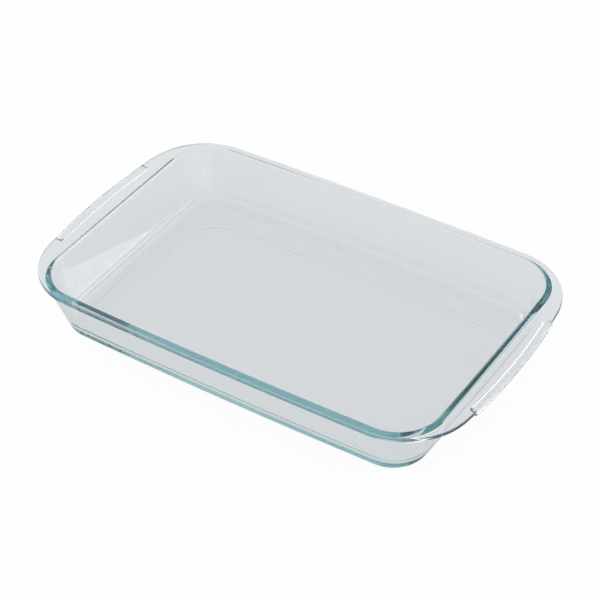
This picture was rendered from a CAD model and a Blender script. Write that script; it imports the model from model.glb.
"""Studio scene of a clear pressed-glass oblong baking dish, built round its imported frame.

The dish is one continuous surface of glass. It stands for all fifteen regions of the frame,
which meet face to face inside the glass and would show as inner faces in a clear material.
Lengths in this file are millimetres unless a name says otherwise, and the meshes are scaled
to metres once, as they are made.
"""

import logging
import math

from dataclasses import dataclass, field

import bpy
import numpy as np
from mathutils import Matrix, Vector


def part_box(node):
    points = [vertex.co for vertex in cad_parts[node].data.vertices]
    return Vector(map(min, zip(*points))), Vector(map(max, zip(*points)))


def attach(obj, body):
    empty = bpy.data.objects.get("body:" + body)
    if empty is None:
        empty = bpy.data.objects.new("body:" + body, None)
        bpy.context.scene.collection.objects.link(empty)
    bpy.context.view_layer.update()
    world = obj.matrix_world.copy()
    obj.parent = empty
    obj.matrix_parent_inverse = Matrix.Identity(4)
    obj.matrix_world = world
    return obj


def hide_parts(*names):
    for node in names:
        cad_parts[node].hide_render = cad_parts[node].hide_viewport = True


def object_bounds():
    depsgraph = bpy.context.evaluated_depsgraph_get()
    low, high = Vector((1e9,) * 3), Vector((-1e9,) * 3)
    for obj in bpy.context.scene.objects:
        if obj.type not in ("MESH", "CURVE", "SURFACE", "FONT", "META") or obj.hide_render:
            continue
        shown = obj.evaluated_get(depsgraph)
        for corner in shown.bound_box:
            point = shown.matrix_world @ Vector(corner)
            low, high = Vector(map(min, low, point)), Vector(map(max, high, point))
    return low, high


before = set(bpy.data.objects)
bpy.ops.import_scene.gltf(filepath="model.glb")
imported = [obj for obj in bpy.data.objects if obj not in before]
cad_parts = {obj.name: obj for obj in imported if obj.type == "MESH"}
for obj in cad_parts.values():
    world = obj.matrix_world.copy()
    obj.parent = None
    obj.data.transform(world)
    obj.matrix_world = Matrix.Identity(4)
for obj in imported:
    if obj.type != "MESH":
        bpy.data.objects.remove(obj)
CAD_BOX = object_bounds()

MM = 0.001
LOG = logging.getLogger("scene")


def linear(hex_colour: str) -> tuple[float, float, float, float]:
    """Turn an sRGB hex colour into linear red, green, blue and alpha.

    Args:
        hex_colour: six hex digits, such as "d5dadb".

    Returns:
        The linear colour with alpha 1. Each channel follows the sRGB transfer curve.
    """
    channels = [int(hex_colour[i : i + 2], 16) / 255 for i in (0, 2, 4)]
    curve = [c / 12.92 if c <= 0.04045 else ((c + 0.055) / 1.055) ** 2.4 for c in channels]
    return (curve[0], curve[1], curve[2], 1.0)


def add_node(
    tree: bpy.types.NodeTree,
    kind: str,
    settings: dict[str, object],
    links: dict[str, bpy.types.NodeSocket],
) -> bpy.types.Node:
    """Add one node to a tree, with its settings and what feeds it.

    Args:
        tree: the node tree.
        kind: the node's type name.
        settings: attribute or input name to value.
        links: input name to the output socket that feeds it.

    Returns:
        The new node.
    """
    node = tree.nodes.new(kind)
    for name, value in settings.items():
        if name in node.inputs:
            node.inputs[name].default_value = value
        else:
            setattr(node, name, value)
    for name, socket in links.items():
        tree.links.new(socket, node.inputs[name])
    return node


@dataclass(frozen=True)
class Outline:
    """A rectangle with bowed sides and rounded corners, seen from above.

    half_x and half_y reach the middles of the sides. bow_x is how far the short sides stand
    out in their middles, bow_y the same for the long sides.
    """

    half_x: float
    half_y: float
    bow_x: float
    bow_y: float
    corner: float

    def offset(self, outwards: float) -> "Outline":
        """Move the outline outwards and grow its corner radius by as much.

        Args:
            outwards: how far, in millimetres.

        Returns:
            The new outline.
        """
        return Outline(
            self.half_x + outwards,
            self.half_y + outwards,
            self.bow_x,
            self.bow_y,
            self.corner + outwards,
        )

    def _quarter(
        self, end_share: np.ndarray, corner_share: np.ndarray, side_share: np.ndarray
    ) -> tuple[np.ndarray, np.ndarray]:
        """Work out the quarter from the middle of the right end to the middle of the back.

        Each side is an arc whose radius is (half chord squared + bow squared) / (2 bow). The
        corner circle touches both side arcs from inside, so its centre lies where a circle of
        radius (end radius - corner) about the end arc's centre meets one of radius
        (side radius - corner) about the side arc's centre. Along each arc the point is
        centre + radius * (cos a, sin a), and a runs on without a jump from 0 to 90 degrees.

        Args:
            end_share: places along the end arc, 0 to 1, as shares of its height in Y.
            corner_share: places along the corner arc, 0 to 1.
            side_share: places along the side arc, 0 to 1, as shares of its angle.

        Returns:
            The points and the outward normals, each with one row per station.
        """
        chord_y, chord_x = self.half_y - self.bow_y, self.half_x - self.bow_x
        end_radius = (chord_y**2 + self.bow_x**2) / (2 * self.bow_x)
        side_radius = (chord_x**2 + self.bow_y**2) / (2 * self.bow_y)
        end_centre = np.array([self.half_x - end_radius, 0.0])
        side_centre = np.array([0.0, self.half_y - side_radius])
        reach_end, reach_side = end_radius - self.corner, side_radius - self.corner
        between = side_centre - end_centre
        apart = np.hypot(*between)
        along = (reach_end**2 - reach_side**2 + apart**2) / (2 * apart)
        across = math.sqrt(reach_end**2 - along**2)
        unit = between / apart
        normal = np.array([-unit[1], unit[0]])
        candidates = [end_centre + along * unit + sign * across * normal for sign in (-1, 1)]
        corner_centre = max(candidates, key=lambda point: point[0] + point[1])
        turn_in = math.atan2(*(corner_centre - end_centre)[::-1])
        turn_out = math.atan2(*(corner_centre - side_centre)[::-1])
        end_angle = np.arcsin(end_share * math.sin(turn_in))
        corner_angle = turn_in + corner_share * (turn_out - turn_in)
        side_angle = turn_out + side_share * (math.pi / 2 - turn_out)
        angle = np.concatenate([end_angle, corner_angle, side_angle])
        centre = np.concatenate(
            [
                np.repeat(end_centre[None], len(end_angle), axis=0),
                np.repeat(corner_centre[None], len(corner_angle), axis=0),
                np.repeat(side_centre[None], len(side_angle), axis=0),
            ]
        )
        radius = np.concatenate(
            [
                np.full(len(end_angle), end_radius),
                np.full(len(corner_angle), self.corner),
                np.full(len(side_angle), side_radius),
            ]
        )
        outward = np.stack([np.cos(angle), np.sin(angle)], axis=1)
        return centre + radius[:, None] * outward, outward

    def ring(self, stations: "Stations") -> tuple[np.ndarray, np.ndarray]:
        """Work out the whole outline, one point for each station, counter-clockwise.

        The other three quarters are the first one mirrored in X, in both, and in Y.

        Args:
            stations: where the stations stand along a quarter.

        Returns:
            The points and the outward normals, each with one row per station.
        """
        points, outward = self._quarter(stations.end, stations.corner, stations.side)

        def mirrored(values: np.ndarray) -> np.ndarray:
            """Mirror one quarter's values into the other three.

            Args:
                values: one row of x, y per station of the first quarter.

            Returns:
                The rows of all four quarters, with no station twice.
            """
            back_left = (values * (-1, 1))[::-1][1:]
            front_left = (values * (-1, -1))[1:]
            front_right = (values * (1, -1))[::-1][1:-1]
            return np.concatenate([values, back_left, front_left, front_right])

        return mirrored(points), mirrored(outward)


@dataclass(frozen=True)
class Stations:
    """Shares of each arc of a quarter outline at which the profile is taken."""

    end: np.ndarray
    corner: np.ndarray
    side: np.ndarray

    @classmethod
    def spread(cls, counts: tuple[int, int, int], grip_end: float) -> "Stations":
        """Spread the stations, closer together where a grip bar ends.

        Args:
            counts: stations near the grip bar's end, along the corner and along the side.
            grip_end: where a grip bar ends, as a share of the end arc's height in Y.

        Returns:
            The stations. An arc's last share is left out where the next arc starts.
        """
        end_count, corner_count, side_count = counts
        closeness = 0.045  # share of the end arc on each side of the grip bar's end
        almost_all = 0.995
        last_count = 4
        fine_end = min(grip_end + closeness, almost_all)
        fine = np.linspace(grip_end - closeness, fine_end, end_count)
        coarse = np.linspace(0, grip_end - closeness, end_count // 2, endpoint=False)
        last = np.linspace(fine_end, 1, last_count, endpoint=False)[1:]
        return cls(
            end=np.concatenate([coarse, fine, last]),
            corner=np.linspace(0, 1, corner_count, endpoint=False),
            side=np.linspace(0, 1, side_count),
        )


@dataclass(frozen=True)
class PressedGlass:
    """Clear soda-lime glass, pressed in a mould and fire-polished.

    The polish leaves it all but mirror smooth, so it shows sharp highlights. The mould leaves
    long shallow waves, which bend what is seen through it a little. Iron in the glass takes
    out red, so it looks clear through a wall and blue-green where the light runs lengthwise.
    """

    tint: str = "c7e2e5"  # absorption per metre is density times one minus this
    density_per_metre: float = 14.0
    ior: float = 1.5
    roughness: float = 0.012
    wave_length: float = 32.0  # millimetres from crest to crest of the mould's waves
    wave_height: float = 0.05  # millimetres
    ripple_length: float = 7.0  # the smaller unevenness that polishing leaves
    ripple_share: float = 0.06  # its height as a share of the waves
    wave_octaves: float = 1.0
    wave_kept: float = 0.4  # how much of each finer octave of the waves is kept
    ripple_kept: float = 0.5  # the same for the ripple

    def material(self) -> bpy.types.Material:
        """Build the glass.

        Two noises on Object coordinates, one per real wave length, are added and bump the
        surface. The colour comes from the volume, which absorbs along each ray's true path.

        Returns:
            The material.
        """
        glass = bpy.data.materials.new("fire_polished_pressed_glass")
        glass.use_nodes = True
        tree = glass.node_tree
        tree.nodes.clear()
        place = add_node(tree, "ShaderNodeTexCoord", {}, {})
        waves = add_node(
            tree,
            "ShaderNodeTexNoise",
            {
                "Scale": 1 / (self.wave_length * MM),
                "Detail": self.wave_octaves,
                "Roughness": self.wave_kept,
            },
            {"Vector": place.outputs["Object"]},
        )
        ripple = add_node(
            tree,
            "ShaderNodeTexNoise",
            {
                "Scale": 1 / (self.ripple_length * MM),
                "Detail": self.wave_octaves,
                "Roughness": self.ripple_kept,
            },
            {"Vector": place.outputs["Object"]},
        )
        relief = add_node(tree, "ShaderNodeMath", {"operation": "MULTIPLY_ADD"}, {})
        tree.links.new(ripple.outputs["Fac"], relief.inputs[0])
        relief.inputs[1].default_value = self.ripple_share
        tree.links.new(waves.outputs["Fac"], relief.inputs[2])
        bump = add_node(
            tree,
            "ShaderNodeBump",
            {"Strength": 1.0, "Distance": self.wave_height * MM},
            {"Height": relief.outputs[0]},
        )
        surface = add_node(
            tree,
            "ShaderNodeBsdfPrincipled",
            {
                "Base Color": (1.0, 1.0, 1.0, 1.0),
                "Roughness": self.roughness,
                "IOR": self.ior,
                "Transmission Weight": 1.0,
            },
            {"Normal": bump.outputs["Normal"]},
        )
        absorption = add_node(
            tree,
            "ShaderNodeVolumeAbsorption",
            {"Color": linear(self.tint), "Density": self.density_per_metre},
            {},
        )
        add_node(
            tree,
            "ShaderNodeOutputMaterial",
            {},
            {"Surface": surface.outputs["BSDF"], "Volume": absorption.outputs["Volume"]},
        )
        return glass


@dataclass
class GlassDish:
    """The whole dish, as one closed surface of glass.

    Overall sizes, the floor's thickness, the rim's underside and the grip bars come from the
    frame. The sizes below are the ones that the frame's boxes can't say.
    """

    station_counts: tuple[int, int, int] = (60, 40, 18)
    side_rim_width: float = 7.5
    handle_reach: float = 22.0
    handle_bow: float = 12.4
    handle_corner: float = 56.0
    opening_corner: float = 34.0
    side_bow: float = 2.7
    end_bow: float = 0.6
    end_lean: float = 12.0
    side_lean: float = 6.5
    base_corner: float = 27.0
    floor_inset_end: float = 3.5
    floor_inset_side: float = 4.0
    floor_corner: float = 24.0
    wall_thickness: float = 4.6
    heel_radius: float = 8.0
    floor_fillet: float = 12.0
    rim_inner_round: float = 1.8
    rim_edge_round: float = 1.3
    rim_root_fillet: float = 1.6
    grip_width: float = 6.5
    grip_end_radius: float = 3.5
    grip_edge_round: float = 0.8
    grip_draft: float = 0.7  # level width of the slope down each edge of a grip bar
    fillet_rings: int = 18
    heel_rings: int = 14
    edge_rings: int = 9  # round each edge of the rim
    root_rings: int = 7
    glass: PressedGlass = field(default_factory=PressedGlass)

    def __post_init__(self) -> None:
        """Read what the frame says about the dish's sizes."""
        low, high = (np.array(corner) / MM for corner in CAD_BOX)
        self.length, self.width, self.height = high - low
        self.floor_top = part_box("base_panel")[1].z / MM
        self.rim_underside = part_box("front_rim")[0].z / MM
        grip_low, grip_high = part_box("right_grip")
        self.grip_underside = grip_low.z / MM
        self.grip_half = grip_high.y / MM

    def outlines(self) -> dict[str, Outline]:
        """Lay out the outlines that the profile passes through.

        Returns:
            The outline of the rim, opening, wall root, base and floor, by name.
        """
        rim = Outline(
            self.length / 2,
            self.width / 2,
            self.handle_bow,
            self.side_bow,
            self.handle_corner,
        )
        opening = Outline(
            rim.half_x - self.handle_reach,
            rim.half_y - self.side_rim_width,
            self.end_bow,
            self.side_bow,
            self.opening_corner,
        )
        base = Outline(
            opening.half_x - self.end_lean,
            opening.half_y - self.side_lean,
            self.end_bow,
            self.side_bow,
            self.base_corner,
        )
        floor = Outline(
            base.half_x - self.floor_inset_end,
            base.half_y - self.floor_inset_side,
            self.end_bow,
            self.side_bow,
            self.floor_corner,
        )
        return {
            "rim": rim,
            "opening": opening,
            "root": opening.offset(self.wall_thickness),
            "base": base,
            "floor": floor,
        }

    @staticmethod
    def _corner_arc(
        corner: np.ndarray,
        come: np.ndarray,
        go: np.ndarray,
        radius: float | np.ndarray,
        count: int,
    ) -> np.ndarray:
        """Round one corner of the profile at every station.

        The arc touches both lines at radius * tan(turn / 2) from the corner. Its points are
        centre + radius * (cos b * from_centre + sin b * come), as b runs over the turn.

        Args:
            corner: the sharp corner, one row of x, y, z per station.
            come: unit direction in which the profile arrives.
            go: unit direction in which it leaves.
            radius: the arc's radius, one number or one per station.
            count: points on the arc.

        Returns:
            An array of count rings, each with one row per station.
        """
        turn = np.arccos(np.clip(np.sum(come * go, axis=1), -1, 1))
        radius = np.broadcast_to(np.asarray(radius, float), turn.shape)
        setback = radius * np.tan(turn / 2)
        start = corner - setback[:, None] * come
        side = go - np.cos(turn)[:, None] * come
        side /= np.linalg.norm(side, axis=1, keepdims=True)
        centre = start + radius[:, None] * side
        share = np.linspace(0, 1, count)[:, None, None] * turn[None, :, None]
        arm = radius[None, :, None]
        return centre[None] + arm * (np.sin(share) * come[None] - np.cos(share) * side[None])

    def _grip_depth(self, inward: np.ndarray, along: np.ndarray) -> np.ndarray:
        """Work out how far the flange's underside drops at points near its outer edge.

        The bar's plan is a rectangle whose two inner corners are rounded. d is the distance
        inside that plan, and the drop is the full depth times 3t^2 - 2t^3, with t = d / draft.

        Args:
            inward: distance in from the rim's outer edge.
            along: distance from the middle of the handle, along Y.

        Returns:
            The drop below the flange's underside, in millimetres.
        """
        reach_in = inward - (self.grip_width - self.grip_end_radius)
        reach_along = np.abs(along) - (self.grip_half - self.grip_end_radius)
        outside = np.hypot(np.maximum(reach_in, 0), np.maximum(reach_along, 0))
        inside = np.minimum(np.maximum(reach_in, reach_along), 0)
        share = np.clip((self.grip_end_radius - outside - inside) / self.grip_draft, 0, 1)
        full = self.rim_underside - self.grip_underside
        return full * share * share * (3 - 2 * share)

    def surface(self) -> np.ndarray:
        """Carry the profile round the dish.

        The profile goes from the floor's middle out along the floor, up the inner wall, over
        the rim, back along the flange's underside and its grip bar, down the outer wall and
        in along the base. Each of its corners is a matching outline at its own height, so a
        point of the surface depends on a place along the profile and a station round it.

        Returns:
            The rings, as an array of ring, station and x, y, z, in millimetres.
        """
        lines = self.outlines()
        none = np.array([])
        arc_ends, _ = lines["rim"].ring(Stations(np.array([1.0]), none, none))
        grip_end = self.grip_half / arc_ends[0, 1]
        stations = Stations.spread(self.station_counts, grip_end)
        ring = {name: line.ring(stations) for name, line in lines.items()}
        level = {
            "floor": self.floor_top,
            "opening": self.height,
            "rim": self.height,
            "root": self.rim_underside,
            "base": 0.0,
        }
        point = {
            name: np.column_stack([ring[name][0], np.full(len(ring[name][0]), level[name])])
            for name in lines
        }

        def unit(vectors: np.ndarray) -> np.ndarray:
            """Return the vectors at length one."""
            return vectors / np.linalg.norm(vectors, axis=1, keepdims=True)

        def level_part(vectors: np.ndarray) -> np.ndarray:
            """Return the vectors laid level, at length one."""
            return unit(vectors * (1, 1, 0))

        up = unit(point["opening"] - point["floor"])
        out = level_part(up)
        down = unit(point["base"] - point["root"])
        inwards = level_part(down)
        rim_out = np.column_stack([ring["rim"][1], np.zeros(len(ring["rim"][1]))])
        plumb = np.broadcast_to(np.array([0.0, 0.0, -1.0]), rim_out.shape)

        fillet = self._corner_arc(point["floor"], out, up, self.floor_fillet, self.fillet_rings)
        count = self.edge_rings
        lip = self._corner_arc(point["opening"], up, out, self.rim_inner_round, count)
        edge_top = self._corner_arc(point["rim"], rim_out, plumb, self.rim_edge_round, count)

        along = point["rim"][:, 1]
        at_end = np.abs(point["rim"][:, 0]) > lines["opening"].half_x
        edge_drop = np.where(at_end, self._grip_depth(np.zeros_like(along), along), 0)
        drop_share = edge_drop / (self.rim_underside - self.grip_underside)
        low_corner = point["rim"] * (1, 1, 0)
        low_corner[:, 2] = self.rim_underside - edge_drop
        low_round = self.rim_edge_round + drop_share * (
            self.grip_edge_round - self.rim_edge_round
        )
        edge_low = self._corner_arc(low_corner, plumb, -rim_out, low_round, count)

        root = self._corner_arc(
            point["root"],
            -level_part(rim_out + out),
            down,
            self.rim_root_fillet,
            self.root_rings,
        )
        heel = self._corner_arc(point["base"], down, inwards, self.heel_radius, self.heel_rings)

        # Rows along the underside stand at these distances from the rim, close together down
        # the slope of the grip bar. Where the ledge is narrow they are squeezed to fit it.
        slope = self.grip_width - self.grip_draft
        first_gap, beyond_grip, ledge_share = 0.2, np.array([0.3, 1.2]), 0.9
        level_rows, slope_rows = 6, 7
        rows = np.concatenate(
            [
                np.linspace(low_round.max() + first_gap, slope, level_rows),
                np.linspace(slope, self.grip_width, slope_rows)[1:],
                self.grip_width + beyond_grip,
            ]
        )
        start, finish = edge_low[-1], root[0]
        reach = finish - start
        level_reach = np.sum(-rim_out * reach, axis=1)
        squeeze = np.minimum(1, ledge_share * level_reach / (rows[-1] - low_round))
        inward = low_round + (rows[:, None] - low_round) * squeeze
        share = (inward - low_round) / level_reach
        under = start + share[..., None] * reach
        drop = np.where(at_end, self._grip_depth(inward, under[..., 1]), 0)
        under[..., 2] = self.rim_underside - drop

        def between(first: np.ndarray, last: np.ndarray, shares: list[float]) -> np.ndarray:
            """Return rings that stand at the given shares of the way between two rings."""
            steps = np.array(shares)[:, None, None]
            return first[None] + steps * (last - first)[None]

        wall_shares = [0.02, 0.25, 0.5, 0.75, 0.98]
        floor_middle = np.array([0.0, 0.0, self.floor_top])
        base_middle = np.zeros(3)
        return np.concatenate(
            [
                between(np.broadcast_to(floor_middle, fillet[0].shape), fillet[0], [0.5, 0.99]),
                fillet,
                between(fillet[-1], lip[0], wall_shares),
                lip,
                between(lip[-1], edge_top[0], [0.06, 0.5, 0.94]),
                edge_top,
                between(edge_top[-1], edge_low[0], [0.12, 0.5, 0.88]),
                edge_low,
                under,
                root,
                between(root[-1], heel[0], wall_shares),
                heel,
                between(heel[-1], np.broadcast_to(base_middle, heel[-1].shape), [0.01, 0.5]),
            ]
        )

    def build(self) -> bpy.types.Object:
        """Make the mesh from the rings and close it with a point at each end.

        Quads join each ring to the next, and triangles join the first and last rings to the
        middles of the floor and of the base. The last station joins back to the first.

        Returns:
            The dish, at the origin.
        """
        rings = self.surface()
        ring_count, station_count = rings.shape[:2]
        points = np.concatenate(
            [rings.reshape(-1, 3), [[0, 0, self.floor_top]], [[0, 0, 0]]]
        )
        index = np.arange(ring_count * station_count).reshape(ring_count, station_count)
        after = np.roll(index, -1, axis=1)
        quads = np.stack([index[:-1], after[:-1], after[1:], index[1:]], axis=-1)
        quads = quads.reshape(-1, 4)[:, ::-1]
        top, bottom = len(points) - 2, len(points) - 1
        floor_fan = np.stack([np.full(station_count, top), index[0], after[0]], axis=1)
        base_fan = np.stack([np.full(station_count, bottom), after[-1], index[-1]], axis=1)
        mesh = bpy.data.meshes.new("glass_dish")
        faces = quads.tolist() + floor_fan.tolist() + base_fan.tolist()
        mesh.from_pydata((points * MM).tolist(), [], faces)
        mesh.polygons.foreach_set("use_smooth", np.ones(len(faces), bool))
        mesh.update()
        dish = bpy.data.objects.new("glass_dish", mesh)
        bpy.context.scene.collection.objects.link(dish)
        mesh.materials.append(self.glass.material())
        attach(dish, "root")
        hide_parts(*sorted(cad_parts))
        LOG.info("glass dish: %d rings of %d stations", ring_count, station_count)
        return dish


@dataclass(frozen=True)
class Place:
    """A place in the studio, seen from the middle of the dish's base.

    Azimuth 0 is in front of the dish, on -Y, and 90 at its right end, on +X.
    """

    azimuth: float
    elevation: float
    metres: float

    def point(self) -> Vector:
        """Turn the place into a point.

        Returns:
            The point, in metres.
        """
        turn, rise = math.radians(self.azimuth), math.radians(self.elevation)
        level = math.cos(rise)
        return self.metres * Vector(
            (math.sin(turn) * level, -math.cos(turn) * level, math.sin(rise))
        )


@dataclass(frozen=True)
class SoftBox:
    """A rectangular soft box that faces the dish."""

    name: str
    place: Place
    width: float  # metres
    height: float  # metres
    radiance: float  # the white of the sweep is about 1

    def build(self) -> bpy.types.Object:
        """Add the light. Its power is radiance times pi times its area.

        Returns:
            The light.
        """
        data = bpy.data.lights.new(self.name, "AREA")
        data.shape = "RECTANGLE"
        data.size, data.size_y = self.width, self.height
        data.energy = self.radiance * math.pi * self.width * self.height
        light = bpy.data.objects.new(self.name, data)
        light.location = self.place.point()
        light.rotation_euler = self.place.point().to_track_quat("Z", "Y").to_euler()
        bpy.context.scene.collection.objects.link(light)
        return light


@dataclass
class Studio:
    """Floor, soft light all round and the camera."""

    floor_colour: str = "e6e7e8"
    table_colour: str = "f9fbfe"
    table_strength: float = 0.74
    table_share: float = 0.8  # how far it is a light table, seen through the glass
    backlight: float = 0.94  # how far it glows white, where nothing stands before it
    floor_half: float = 6000.0
    floor_gap: float = 0.05  # the floor lies this far under the dish
    sky_strength: float = 1.05
    camera_place: Place = Place(35.623, 41.003, 1.4341)
    camera_roll_degrees: float = -2.866
    lens: float = 109.8
    sensor_width: float = 36.0
    shift: tuple[float, float] = (0.0032, 0.0395)
    clip_end: float = 50.0  # metres
    glass_bounces: int = 160  # light runs a long way inside the walls before it leaves
    diffuse_bounces: int = 6
    soft_boxes: tuple[SoftBox, ...] = (
        SoftBox("right_back_soft_box", Place(130.0, 14.0, 2.2), 1.0, 0.5, 3.0),
        SoftBox("left_soft_box", Place(-95.0, 22.0, 2.2), 0.5, 0.55, 3.0),
    )

    def add_floor(self) -> bpy.types.Object:
        """Add the plain pale floor just under the dish.

        Seen directly it is all but pure white. Seen through the glass, or reflected in it, it
        is mostly the even grey glow of a light table and partly lit paper, so that the clear
        dish stands out from it.

        Returns:
            The floor.
        """
        half, below = self.floor_half * MM, -self.floor_gap * MM
        mesh = bpy.data.meshes.new("studio_floor")
        corners = [(-half, -half), (half, -half), (half, half), (-half, half)]
        mesh.from_pydata([(x, y, below) for x, y in corners], [], [(0, 1, 2, 3)])
        floor = bpy.data.objects.new("studio_floor", mesh)
        bpy.context.scene.collection.objects.link(floor)
        paint = bpy.data.materials.new("matt_paper_sweep")
        paint.use_nodes = True
        tree = paint.node_tree
        tree.nodes.clear()
        paper = add_node(tree, "ShaderNodeBsdfDiffuse", {"Color": linear(self.floor_colour)}, {})
        table = add_node(
            tree,
            "ShaderNodeEmission",
            {"Color": linear(self.table_colour), "Strength": self.table_strength},
            {},
        )
        white = add_node(tree, "ShaderNodeEmission", {"Color": (1.0, 1.0, 1.0, 1.0)}, {})
        through = add_node(tree, "ShaderNodeMixShader", {"Fac": self.table_share}, {})
        tree.links.new(paper.outputs["BSDF"], through.inputs[1])
        tree.links.new(table.outputs["Emission"], through.inputs[2])
        direct = add_node(tree, "ShaderNodeMixShader", {"Fac": self.backlight}, {})
        tree.links.new(paper.outputs["BSDF"], direct.inputs[1])
        tree.links.new(white.outputs["Emission"], direct.inputs[2])
        path = add_node(tree, "ShaderNodeLightPath", {}, {})
        seen = add_node(tree, "ShaderNodeMixShader", {}, {"Fac": path.outputs["Is Camera Ray"]})
        tree.links.new(through.outputs["Shader"], seen.inputs[1])
        tree.links.new(direct.outputs["Shader"], seen.inputs[2])
        add_node(tree, "ShaderNodeOutputMaterial", {}, {"Surface": seen.outputs["Shader"]})
        mesh.materials.append(paint)
        return floor

    def light(self) -> None:
        """Light the scene from a plain white sky and the soft boxes."""
        world = bpy.data.worlds.new("studio_sky")
        bpy.context.scene.world = world
        world.use_nodes = True
        sky = world.node_tree.nodes["Background"]
        sky.inputs["Color"].default_value = (1.0, 1.0, 1.0, 1.0)
        sky.inputs["Strength"].default_value = self.sky_strength
        for soft_box in self.soft_boxes:
            soft_box.build()

    def add_camera(self) -> bpy.types.Object:
        """Add the camera, looking at the middle of the base.

        Returns:
            The camera.
        """
        data = bpy.data.cameras.new("camera")
        data.lens = self.lens
        data.sensor_width = self.sensor_width
        data.shift_x, data.shift_y = self.shift
        data.clip_end = self.clip_end
        camera = bpy.data.objects.new("camera", data)
        bpy.context.scene.collection.objects.link(camera)
        place = self.camera_place.point()
        back = place.normalized()
        right = Vector((0, 0, 1)).cross(back).normalized()
        up = back.cross(right)
        roll = math.radians(self.camera_roll_degrees)
        right_rolled = right * math.cos(roll) + up * math.sin(roll)
        up_rolled = up * math.cos(roll) - right * math.sin(roll)
        turn = Matrix((right_rolled, up_rolled, back)).transposed().to_4x4()
        camera.matrix_world = Matrix.Translation(place) @ turn
        bpy.context.scene.camera = camera
        return camera

    def set_view(self) -> None:
        """Show plain colours and let light pass through many walls of glass."""
        scene = bpy.context.scene
        scene.view_settings.view_transform = "Standard"
        scene.view_settings.look = "None"
        scene.cycles.max_bounces = self.glass_bounces
        scene.cycles.transmission_bounces = self.glass_bounces
        scene.cycles.glossy_bounces = self.glass_bounces
        scene.cycles.diffuse_bounces = self.diffuse_bounces


def main() -> None:
    """Build the studio and the dish, in order."""
    logging.basicConfig(level=logging.INFO, format="%(name)s: %(message)s")
    studio = Studio()
    studio.set_view()
    studio.add_camera()
    studio.light()
    studio.add_floor()
    LOG.info("studio: camera, sky, soft boxes and floor")
    GlassDish().build()


if __name__ == "__main__":
    main()
